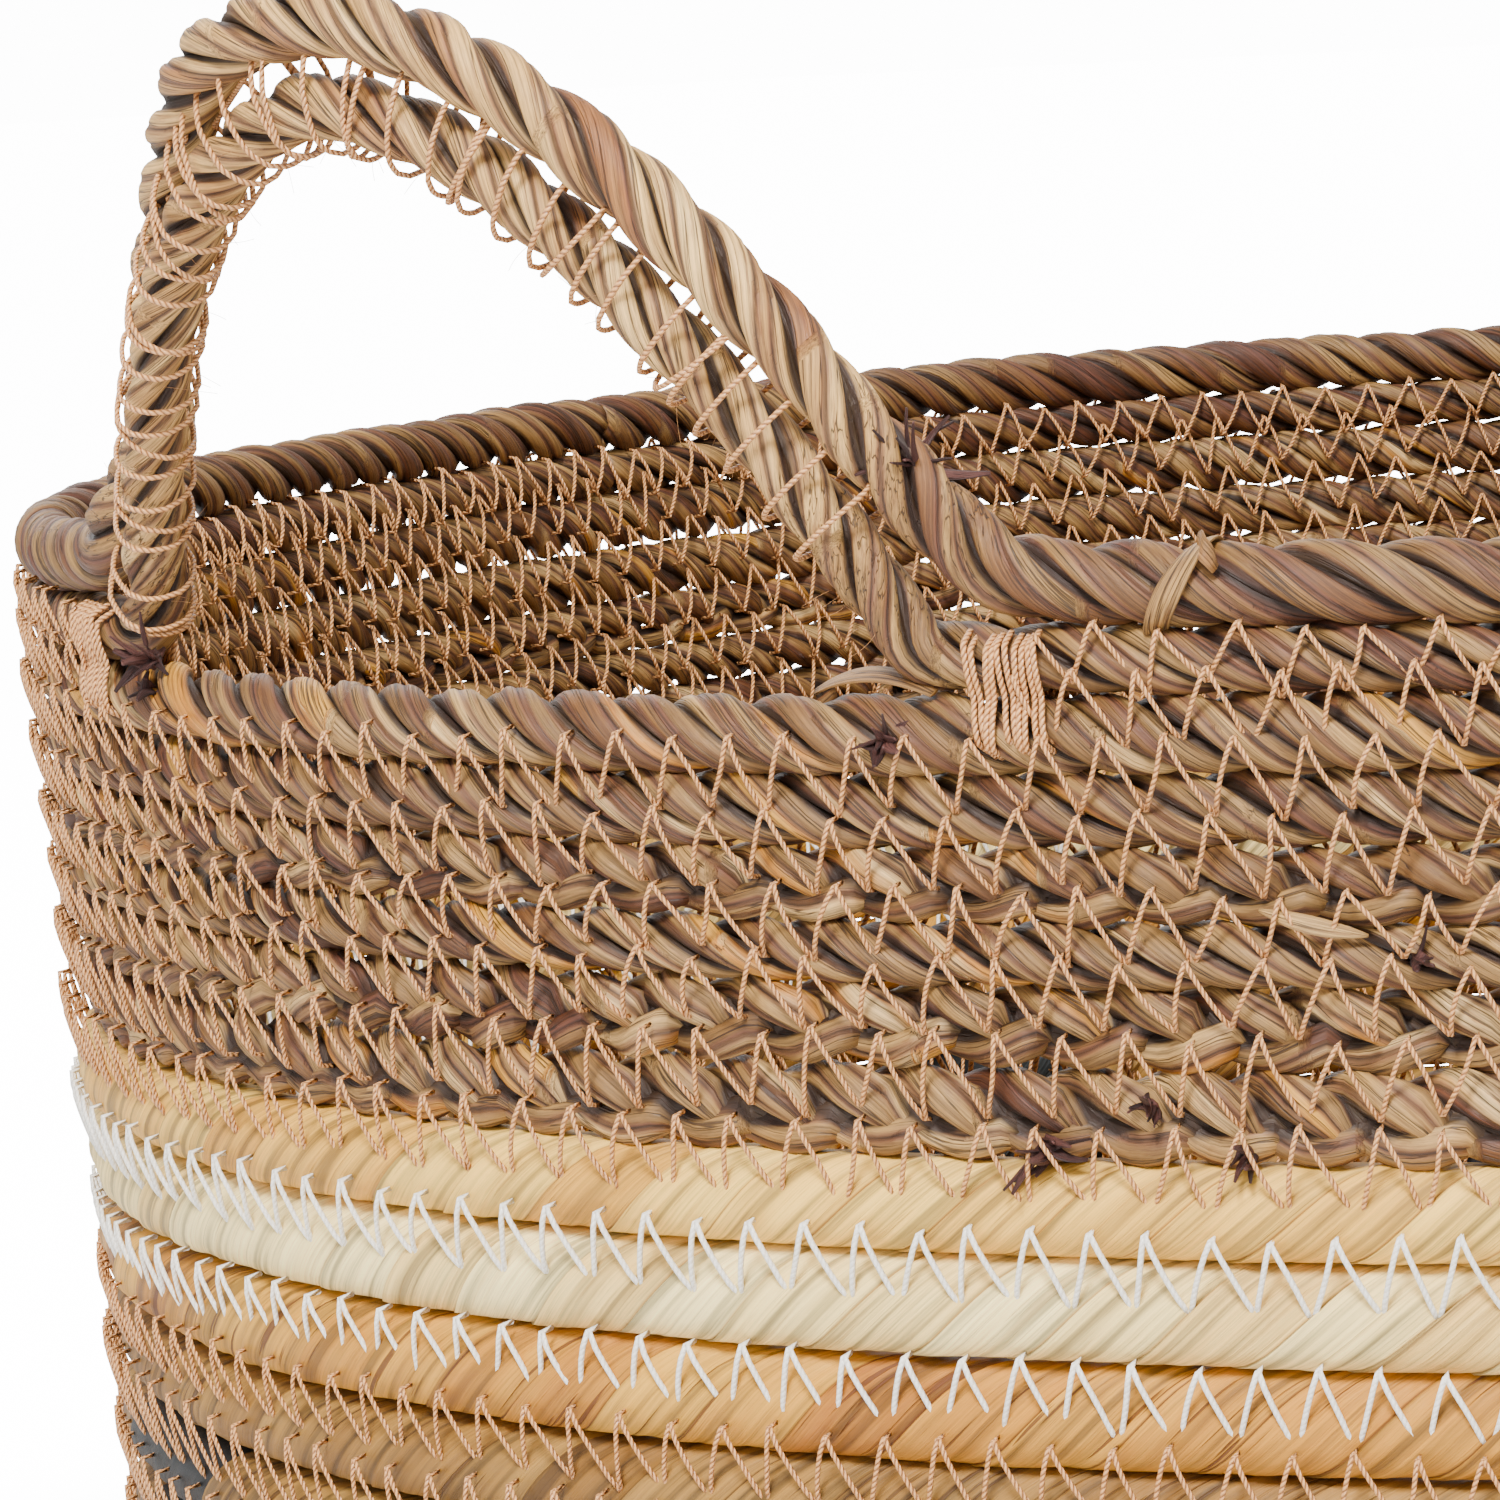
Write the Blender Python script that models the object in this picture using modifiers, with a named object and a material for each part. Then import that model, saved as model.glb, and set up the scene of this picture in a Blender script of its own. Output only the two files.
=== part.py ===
"""Woven market basket: a coiled and sewn basket with two rope loop handles.

The wall is a stack of rope courses sewn to each other. The upper courses are
seagrass rope, the lower ones are coils wrapped in maize husk. The two top
courses leave the rim at four places and arch up as the two loop handles. The
bottom is one coil wound flat from the centre outwards.

Frame: origin on the floor at the middle of the basket, +Z up, the two handles
on -X and +X. Lengths are in metres.
"""

import math

import bpy

MM = 0.001

# Plan of the wall at the centre line of the rim rope: a slightly squared oval
PLAN_LONG = 239.0 * MM
PLAN_SHORT = 223.3 * MM
PLAN_POWER = 2.3  # 2 is an ellipse, larger is squarer
PLAN_TURN_DEG = 19.6  # of the long axis from the line through the handles
RIM_RADIUS = (PLAN_LONG + PLAN_SHORT) / 2
TAPER = 0.308  # loss of radius per metre of depth, as a share
TUCK_DEPTHS = 2  # lowest courses, drawn in towards the base
TUCK = 2.2 * MM

# Courses from the rim down
SEAGRASS_HEIGHTS = [9.1, 7.6, 9.0, 8.9, 8.9, 7.5, 9.9, 10.7]
HUSK_HEIGHTS = [11.7, 12.8, 13.0]
LOWER_HUSK_HEIGHT = 12.2
LOWER_HUSK_COURSES = 11
SEAGRASS_THICKNESS = 9.6 * MM
HUSK_THICKNESS = 10.8 * MM
GAP = 0.35 * MM

# Base coil
BASE_THICKNESS = 9.2 * MM
BASE_PITCH = 12.6 * MM
BASE_CENTRE_RADIUS = 5.0 * MM
BASE_SEGMENTS = 16
BASE_TURN_GAP = 1.1 * MM
BASE_INSET = 2.4 * MM  # how far its edge stays inside the lowest course

# Loop handles, in the surface of the wall: s runs along the rim, h up from
# the top of the third course
HANDLE_LOW_RISE, HANDLE_LOW_HALF, HANDLE_LOW_POWER = 72.5 * MM, 69.8 * MM, 1.83
HANDLE_UP_RISE, HANDLE_UP_HALF, HANDLE_UP_POWER = 83.3 * MM, 82.0 * MM, 1.92
HANDLE_LEAN_DEG = 15.0
HANDLE_LOW_ROPE = 9.0 * MM
HANDLE_UP_ROPE = 10.2 * MM
LOW_FOOT_S = 70.0 * MM
UP_FOOT_S = 80.0 * MM
HINGE_S = 75.0 * MM
HINGE_H = 8.5 * MM
END_GAP = 2.8 * MM

# Sewing
THREAD = 1.5 * MM
RING_SEGMENTS = 32

heights = [v * MM for v in SEAGRASS_HEIGHTS + HUSK_HEIGHTS]
heights += [LOWER_HUSK_HEIGHT * MM] * LOWER_HUSK_COURSES
COURSES = len(heights)
WALL = sum(heights)
RIM_Z = BASE_THICKNESS + GAP + WALL
THIRD_TOP_Z = RIM_Z - heights[0] - heights[1]


# ---------------------------------------------------------------- geometry
def plan_radius(phi):
    t = phi - math.radians(PLAN_TURN_DEG)
    c, s = abs(math.cos(t)) / PLAN_LONG, abs(math.sin(t)) / PLAN_SHORT
    return (c**PLAN_POWER + s**PLAN_POWER) ** (-1 / PLAN_POWER)


def tuck(depth):
    start = WALL - TUCK_DEPTHS * LOWER_HUSK_HEIGHT * MM
    x = max(0.0, depth - start) / (WALL - start)
    return TUCK * x * x


def wall_radius(phi, depth):
    return plan_radius(phi) * (1 - TAPER * depth) - tuck(depth)


def wall_point(phi, depth):
    r = wall_radius(phi, depth)
    return (r * math.cos(phi), r * math.sin(phi), RIM_Z - depth)


def wall_normal(phi):
    e = 0.002
    a, b = wall_point(phi - e, 0), wall_point(phi + e, 0)
    dx, dy = b[0] - a[0], b[1] - a[1]
    n = math.hypot(dx, dy)
    return dy / n, -dx / n


def azimuth_at(middle, s):
    """The azimuth reached after going the length s along the rim."""
    steps = 60
    phi, ds = middle, s / steps
    for _ in range(steps):
        e = 0.002
        a, b = wall_point(phi - e, 0), wall_point(phi + e, 0)
        phi += ds * 2 * e / math.dist(a, b)
    return phi


def smooth_max(a, b, k):
    return (a + b + math.sqrt((a - b) ** 2 + k * k)) / 2


LEVEL_1 = heights[1] + heights[0] / 2
LEVEL_2 = heights[1] / 2


def handle_low(s):
    arch = HANDLE_LOW_RISE * (1 - (abs(s) / HANDLE_LOW_HALF) ** HANDLE_LOW_POWER)
    return smooth_max(arch, LEVEL_2, 5 * MM)


def handle_up(s):
    arch = HANDLE_UP_RISE * (1 - (abs(s) / HANDLE_UP_HALF) ** HANDLE_UP_POWER)
    return smooth_max(arch, LEVEL_1, 10 * MM)


def lean(s, h):
    """How far a handle rope stands out from the third course."""
    x = min(1.0, max(0.0, (0.095 - abs(s)) / 0.035))
    share = x * x * (3 - 2 * x)
    wall = TAPER * RIM_RADIUS * h
    knee, soft = 8 * MM, 6 * MM
    rise = (h - knee + math.hypot(h - knee, soft)) / 2
    rise -= (-knee + math.hypot(knee, soft)) / 2
    return wall + share * rise * (math.tan(math.radians(HANDLE_LEAN_DEG)) - TAPER * RIM_RADIUS)


def handle_point(middle, s, h, out=0.0):
    phi = azimuth_at(middle, s)
    x, y, z = wall_point(phi, heights[0] + heights[1])
    nx, ny = wall_normal(phi)
    d = lean(s, h) + out
    return (x + nx * d, y + ny * d, THIRD_TOP_Z + h)


def upper_rope_point(middle, s, h):
    """On one leg of each loop the upper rope sits inward of the lower one, so the pair is twisted there."""

    def smooth(x):
        x = max(0.0, min(1.0, x))
        return x * x * (3 - 2 * x)

    twist = smooth((-s - 12 * MM) / (36 * MM)) * smooth((h - 16 * MM) / (16 * MM))
    return handle_point(middle, s + 2.0 * MM * twist, h, -6.2 * MM * twist)


# ---------------------------------------------------------------- the scene
for old in list(bpy.data.objects):
    bpy.data.objects.remove(old)

parts = bpy.data.collections.new("woven_market_basket")
guides = bpy.data.collections.new("guides")
guides.hide_render = True
for collection in (parts, guides):
    bpy.context.scene.collection.children.link(collection)


def material(name, colour, roughness, metallic=0.0):
    m = bpy.data.materials.new(name)
    m.use_nodes = True
    shader = m.node_tree.nodes["Principled BSDF"]
    shader.inputs["Base Color"].default_value = (*colour, 1)
    shader.inputs["Roughness"].default_value = roughness
    shader.inputs["Metallic"].default_value = metallic
    m.diffuse_color = (*colour, 1)
    return m


SEAGRASS = (0.36, 0.23, 0.115)
CREAM = (0.72, 0.55, 0.29)
WHITE = (0.80, 0.70, 0.50)
ORANGE = (0.62, 0.37, 0.14)
TAN = (0.60, 0.41, 0.20)
DARK = (0.035, 0.045, 0.045)
TAN_THREAD = (0.58, 0.36, 0.20)
WHITE_THREAD = (0.78, 0.74, 0.66)


def spline_object(name, points, closed, radii=None):
    curve = bpy.data.curves.new(name, "CURVE")
    curve.dimensions = "3D"
    spline = curve.splines.new("POLY")
    spline.points.add(len(points) - 1)
    for i, p in enumerate(points):
        spline.points[i].co = (*p, 1)
        spline.points[i].radius = radii[i] if radii else 1.0
    spline.use_cyclic_u = closed
    curve.use_fill_caps = not closed
    return bpy.data.objects.new(name, curve)


def section(name, points):
    """A closed outline that a rope is swept from. It is a guide, not a piece."""
    obj = spline_object(name, [(x, y, 0) for x, y in reversed(points)], True)
    obj.hide_render = True
    obj.display_type = "WIRE"
    obj.data.dimensions = "2D"
    guides.objects.link(obj)
    return obj


def swept(name, points, outline, closed, colour, roughness=0.75, parent=None):
    obj = spline_object(name, points, closed)
    obj.data.twist_mode = "Z_UP"
    obj.data.bevel_mode = "OBJECT"
    obj.data.bevel_object = outline
    obj.data.materials.append(material(name, colour, roughness))
    parts.objects.link(obj)
    if parent:
        obj.parent = parent
        obj.matrix_parent_inverse = parent.matrix_basis.inverted()
    return obj


def hexagon(width, height):
    w, h = width / 2, height / 2
    return [(w, 0), (w * 0.5, h), (-w * 0.5, h), (-w, 0), (-w * 0.5, -h), (w * 0.5, -h)]


# ---------------------------------------------------------------- the wall
depth = 0.0
centres = []
for height in heights:
    centres.append(depth + height / 2)
    depth += height
seam_depths = [sum(heights[: i + 1]) for i in range(COURSES)]


def course_colour(i):
    if i < 8:
        return SEAGRASS
    if i < 11:
        return (CREAM, WHITE, ORANGE)[i - 8]
    if 12 <= i <= 16:
        return DARK
    return TAN


def course_kind(i):
    if i < 8:
        return "seagrass"
    if i < 11:
        return ("cream", "white", "orange")[i - 8] + "_husk"
    if 12 <= i <= 16:
        return "banded_husk"
    return "tan_husk"


outlines = {}


def outline_for(i):
    thickness = SEAGRASS_THICKNESS if i < 8 else HUSK_THICKNESS
    key = (thickness, round(heights[i], 6))
    if key not in outlines:
        outlines[key] = section(
            f"section_{len(outlines) + 1}", hexagon(thickness, heights[i] - GAP)
        )
    return outlines[key]


def ring_points(depth, out=0.0):
    points = []
    for k in range(RING_SEGMENTS):
        phi = 2 * math.pi * k / RING_SEGMENTS
        x, y, z = wall_point(phi, depth)
        nx, ny = wall_normal(phi)
        points.append((x + nx * out, y + ny * out, z))
    return points


def side_points(side, depth, s_end, out=0.0):
    """Along the rim from one handle to the other: side +1 is the +Y side."""
    first = azimuth_at(0.0, side * s_end)
    last = azimuth_at(math.pi, -side * s_end)
    if side < 0:
        last -= 2 * math.pi
    count = RING_SEGMENTS // 2 - 3
    points = []
    for k in range(count + 1):
        phi = first + (last - first) * k / count
        x, y, z = wall_point(phi, depth)
        nx, ny = wall_normal(phi)
        points.append((x + nx * out, y + ny * out, z))
    return points


COURSE_1_END = UP_FOOT_S + HANDLE_UP_ROPE / 2 + END_GAP
COURSE_2_END = LOW_FOOT_S + HANDLE_LOW_ROPE / 2 + END_GAP
SIDES = (("back", 1), ("front", -1))

for i in range(COURSES):
    name = f"course_{i + 1:02d}_{course_kind(i)}"
    if i < 2:
        end = (COURSE_1_END, COURSE_2_END)[i]
        for side_name, side in SIDES:
            swept(
                f"{name}_{side_name}",
                side_points(side, centres[i], end),
                outline_for(i),
                False,
                course_colour(i),
            )
    else:
        swept(name, ring_points(centres[i]), outline_for(i), True, course_colour(i))

# ---------------------------------------------------------------- the sewing
thread_outline = section(
    "section_thread",
    [
        (THREAD / 2 * math.cos(a), THREAD / 2 * math.sin(a))
        for a in (0, 2 * math.pi / 3, 4 * math.pi / 3)
    ],
)


def seam_out(i):
    """How far outside the wall's centre line the thread of seam i lies."""
    thickness = HUSK_THICKNESS if i >= 8 else SEAGRASS_THICKNESS
    return thickness / 2 - 0.3 * MM


for i in range(COURSES):
    if i in (0, 1):
        end = (COURSE_1_END, COURSE_2_END)[i] + 3 * MM
        for side_name, side in SIDES:
            swept(
                f"thread_{i + 1:02d}_{i + 2:02d}_{side_name}",
                side_points(side, seam_depths[i], end, seam_out(i)),
                thread_outline,
                False,
                TAN_THREAD,
                0.6,
            )
        continue
    if i == COURSES - 1:
        name = f"thread_{i + 1:02d}_base"
    else:
        name = f"thread_{i + 1:02d}_{i + 2:02d}"
    colour = WHITE_THREAD if i in (8, 9) else TAN_THREAD
    swept(name, ring_points(seam_depths[i], seam_out(i)), thread_outline, True, colour, 0.6)

# ---------------------------------------------------------------- the base
# One coil wound flat from the centre outwards, with a flat underside.
outer = BASE_THICKNESS + GAP
base_outline = section(
    "section_base",
    [
        (x * (BASE_PITCH - BASE_TURN_GAP) / 2, y * BASE_THICKNESS / 2)
        for x, y in ((1, -1), (1, 1), (-1, 1), (-1, -1))
    ],
)
edge = RIM_RADIUS * (1 - TAPER * WALL) - TUCK + HUSK_THICKNESS / 2 - BASE_PITCH / 2 - BASE_INSET
turns = int((edge - BASE_CENTRE_RADIUS) / BASE_PITCH)
start = edge - turns * BASE_PITCH
points = []
count = turns * BASE_SEGMENTS
for k in range(count + 1):
    phi = 2 * math.pi * k / BASE_SEGMENTS
    r = start + BASE_PITCH * k / BASE_SEGMENTS
    # the coil is round at the centre and takes the plan of the wall at the edge
    share = r / edge
    r *= 1 - share + share * plan_radius(phi) / RIM_RADIUS
    points.append((r * math.cos(phi), r * math.sin(phi), BASE_THICKNESS / 2))
swept("base_coil", points, base_outline, False, TAN)

# ---------------------------------------------------------------- the handles
for hand, middle in (("left", math.pi), ("right", 0.0)):
    feet = [handle_point(middle, s, HINGE_H) for s in (-HINGE_S, HINGE_S)]
    hinge = bpy.data.objects.new(f"handle_{hand}_hinge", None)
    hinge.location = [(a + b) / 2 for a, b in zip(*feet)]
    parts.objects.link(hinge)
    for rope, height_at, foot, thick in (
        ("lower", handle_low, LOW_FOOT_S, HANDLE_LOW_ROPE),
        ("upper", handle_up, UP_FOOT_S, HANDLE_UP_ROPE),
    ):
        # round ends: the last stretch shrinks like a ball's sections
        samples = []
        radius = thick / 2
        for out, size in ((0.95, 0.31), (0.6, 0.8)):
            samples.append((-foot - out * radius, size))
        count = 24
        for k in range(count + 1):
            samples.append((-foot + 2 * foot * k / count, 1.0))
        for out, size in ((0.6, 0.8), (0.95, 0.31)):
            samples.append((foot + out * radius, size))
        name = f"handle_{hand}_{rope}_rope"
        obj = spline_object(
            name,
            [
                (upper_rope_point if rope == "upper" else handle_point)(
                    middle, s, height_at(max(-foot, min(foot, s)))
                )
                for s, _ in samples
            ],
            False,
            [size for _, size in samples],
        )
        obj.data.bevel_depth = radius
        obj.data.bevel_resolution = 1
        obj.data.materials.append(material(name, SEAGRASS, 0.7))
        parts.objects.link(obj)
        obj.parent = hinge
        obj.matrix_parent_inverse.translation = [-v for v in hinge.location]
    # the thread that sews the two ropes together, in the groove between them
    run = 58 * MM
    points = []
    for k in range(21):
        s = -run + 2 * run * k / 20
        low = handle_point(middle, s, handle_low(s))
        t = s * 1.17
        up = upper_rope_point(middle, t, handle_up(t))
        # outward of both ropes: the wall's normal, squared to the line between their centres
        nx, ny = wall_normal(azimuth_at(middle, s))
        across = [b - a for a, b in zip(low, up)]
        share = (nx * across[0] + ny * across[1]) / sum(v * v for v in across)
        way = [n - share * v for n, v in zip((nx, ny, 0.0), across)]
        size = math.sqrt(sum(v * v for v in way))
        points.append(
            tuple((a + b) / 2 + 4.6 * MM * w / size for a, b, w in zip(low, up, way))
        )
    name = f"handle_{hand}_thread"
    obj = spline_object(name, points, False)
    obj.data.bevel_depth = THREAD / 2
    obj.data.bevel_resolution = 0
    obj.data.materials.append(material(name, TAN_THREAD, 0.6))
    parts.objects.link(obj)
    obj.parent = hinge
    obj.matrix_parent_inverse.translation = [-v for v in hinge.location]

# ---------------------------------------------------------------- the trims
# A lashing of close-set thread holds each foot of a handle to the third course.
LASHING_W, LASHING_H, LASHING_T = 9.5 * MM, 11.0 * MM, 1.2 * MM
for hand, middle in (("left", math.pi), ("right", 0.0)):
    for end, sign in (("a", -1), ("b", 1)):
        phi = azimuth_at(middle, sign * (LOW_FOOT_S + 9 * MM))
        d = heights[0] + heights[1] + 1.0 * MM
        x, y, z = wall_point(phi, d)
        nx, ny = wall_normal(phi)
        out = SEAGRASS_THICKNESS / 2 + LASHING_T / 2 + 1.4 * MM
        bpy.ops.mesh.primitive_cube_add(size=1, location=(x + nx * out, y + ny * out, z))
        obj = bpy.context.object
        obj.name = f"handle_{hand}_lashing_{end}"
        obj.scale = (LASHING_T, LASHING_W, LASHING_H)
        bpy.ops.object.transform_apply(location=False, rotation=False, scale=True)
        obj.rotation_euler = (0, 0, math.atan2(ny, nx))
        bevel = obj.modifiers.new("Bevel", "BEVEL")
        bevel.width = 0.35 * MM
        bevel.segments = 1
        obj.data.materials.append(material(obj.name, TAN_THREAD, 0.6))
        for c in list(obj.users_collection):
            c.objects.unlink(obj)
        parts.objects.link(obj)

# A folded leaf strip laid over the rim rope, near one foot of the left handle.
STRIP_W, STRIP_T = 6.5 * MM, 0.8 * MM
phi = azimuth_at(math.pi, 100 * MM)
x, y, z = wall_point(phi, centres[0])
nx, ny = wall_normal(phi)
reach = SEAGRASS_THICKNESS / 2 + 0.9 * MM + STRIP_T / 2
rise = heights[0] / 2 + 1.3 * MM + STRIP_T / 2
points = []
for k in range(11):
    a = math.radians(-12 + 204 * k / 10)
    points.append((x + nx * reach * math.cos(a), y + ny * reach * math.cos(a), z + rise * math.sin(a)))
obj = spline_object("rim_leaf_wrap", points, False)
obj.data.twist_mode = "MINIMUM"
obj.data.bevel_mode = "OBJECT"
obj.data.bevel_object = section(
    "section_strip",
    [
        (STRIP_W / 2 * a, STRIP_T / 2 * b)
        for a, b in ((1, -1), (1, 1), (-1, 1), (-1, -1))
    ],
)
obj.data.materials.append(material("rim_leaf_wrap", (0.30, 0.19, 0.10), 0.7))
parts.objects.link(obj)
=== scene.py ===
import math

import bpy
import numpy as np
from mathutils import Matrix, Vector


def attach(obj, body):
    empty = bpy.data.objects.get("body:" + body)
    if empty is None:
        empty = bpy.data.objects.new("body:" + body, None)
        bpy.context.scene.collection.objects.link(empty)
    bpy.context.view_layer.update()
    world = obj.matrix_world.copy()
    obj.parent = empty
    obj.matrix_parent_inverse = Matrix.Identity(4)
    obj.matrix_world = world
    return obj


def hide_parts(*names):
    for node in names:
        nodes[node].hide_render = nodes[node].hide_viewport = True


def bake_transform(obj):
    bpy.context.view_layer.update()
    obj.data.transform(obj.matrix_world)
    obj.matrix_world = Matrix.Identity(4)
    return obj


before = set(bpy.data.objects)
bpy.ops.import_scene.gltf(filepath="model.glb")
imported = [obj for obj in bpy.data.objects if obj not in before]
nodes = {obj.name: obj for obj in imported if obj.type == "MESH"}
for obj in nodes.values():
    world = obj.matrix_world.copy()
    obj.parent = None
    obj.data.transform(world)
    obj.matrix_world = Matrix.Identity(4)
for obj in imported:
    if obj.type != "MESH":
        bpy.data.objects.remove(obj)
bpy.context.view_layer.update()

MM = 0.001
TAU = 2 * math.pi

# ---------------------------------------------------------------- the design's own sizes
PLAN_LONG, PLAN_SHORT, PLAN_POWER = 239.0 * MM, 223.3 * MM, 2.3
PLAN_TURN = math.radians(19.6)
RIM_RADIUS = (PLAN_LONG + PLAN_SHORT) / 2
TAPER = 0.308
TUCK_DEPTHS, TUCK = 2, 2.2 * MM
LOWER = 12.2
HEIGHTS = np.array([9.1, 7.6, 9.0, 8.9, 8.9, 7.5, 9.9, 10.7, 11.7, 12.8, 13.0] + [LOWER] * 11) * MM
COURSES = len(HEIGHTS)
BASE_T = 9.2 * MM
GAP = 0.35 * MM
WALL = HEIGHTS.sum()
RIM_Z = BASE_T + GAP + WALL
TOPS = np.concatenate([[0], np.cumsum(HEIGHTS)])
CENTRES = (TOPS[:-1] + TOPS[1:]) / 2
THIRD_Z = RIM_Z - TOPS[2]
LEVEL_1 = HEIGHTS[1] + HEIGHTS[0] / 2
LEVEL_2 = HEIGHTS[1] / 2
SEA_HALF = 4.8 * MM
HUSK_HALF = 5.3 * MM


def plan(phi):
    t = phi - PLAN_TURN
    c, s = np.abs(np.cos(t)) / PLAN_LONG, np.abs(np.sin(t)) / PLAN_SHORT
    return (c**PLAN_POWER + s**PLAN_POWER) ** (-1 / PLAN_POWER)


def wall(phi, depth, out=0.0):
    """Points on the wall's centre surface, moved out along its normal."""
    phi = np.asarray(phi, float)
    start = WALL - TUCK_DEPTHS * LOWER * MM
    x = np.clip((depth - start) / (WALL - start), 0, None)
    r = plan(phi) * (1 - TAPER * depth) - TUCK * x * x
    p = np.stack([r * np.cos(phi), r * np.sin(phi), np.broadcast_to(RIM_Z - depth, r.shape)], -1)
    return p + normal(phi) * np.asarray(out)[..., None]


def normal(phi):
    e = 1e-3
    a, b = plan(phi - e), plan(phi + e)
    dx = b * np.cos(phi + e) - a * np.cos(phi - e)
    dy = b * np.sin(phi + e) - a * np.sin(phi - e)
    n = np.hypot(dx, dy)
    return np.stack([dy / n, -dx / n, np.zeros_like(n)], -1)


def smax(a, b, k):
    return (a + b + np.sqrt((a - b) ** 2 + k * k)) / 2


def handle_low(s):
    return smax(71.4 * MM * (1 - (np.abs(s) / (69.8 * MM)) ** 1.83), LEVEL_2, 5 * MM)


def handle_up(s):
    return smax(81.4 * MM * (1 - (np.abs(s) / (82.0 * MM)) ** 1.92), LEVEL_1, 10 * MM)


def lean(s, h):
    x = np.clip((0.095 - np.abs(s)) / 0.035, 0, 1)
    share = x * x * (3 - 2 * x)
    rise = (h - 8 * MM + np.hypot(h - 8 * MM, 6 * MM)) / 2 - (-8 * MM + math.hypot(8 * MM, 6 * MM)) / 2
    return TAPER * RIM_RADIUS * h + share * rise * (math.tan(math.radians(15)) - TAPER * RIM_RADIUS)


def resample(points, step, closed=False, extra=()):
    """The same line with points a given length apart, and other values along it."""
    if closed:
        points = np.vstack([points, points[:1]])
    d = np.concatenate([[0], np.cumsum(np.linalg.norm(np.diff(points, axis=0), axis=1))])
    count = max(3, int(round(d[-1] / step)))
    t = np.linspace(0, d[-1], count + 1)
    if closed:
        t = t[:-1]
    out = np.stack([np.interp(t, d, points[:, k]) for k in range(3)], -1)
    more = [np.interp(t, d, v) for v in extra]
    return out, t, d[-1], more


def tangents(p, closed):
    if closed:
        t = np.roll(p, -1, 0) - np.roll(p, 1, 0)
    else:
        t = np.gradient(p, axis=0)
    return t / np.linalg.norm(t, axis=1, keepdims=True)


def cross(a, b):
    return np.cross(a, b)


def unit(v):
    return v / np.maximum(np.linalg.norm(v, axis=-1, keepdims=True), 1e-12)


def wander(n, knots, rng, closed=True, size=1.0):
    """A smooth random line of n values, about -1 to 1."""
    knots = max(3, knots)
    v = rng.uniform(-1, 1, knots + (0 if closed else 1))
    x = np.arange(n) / n * knots if closed else np.arange(n) / max(1, n - 1) * knots
    i = np.floor(x).astype(int)
    f = x - i
    f = f * f * (3 - 2 * f)
    a = v[i % knots] if closed else v[np.minimum(i, knots)]
    b = v[(i + 1) % knots] if closed else v[np.minimum(i + 1, knots)]
    return size * (a + (b - a) * f)


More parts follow.
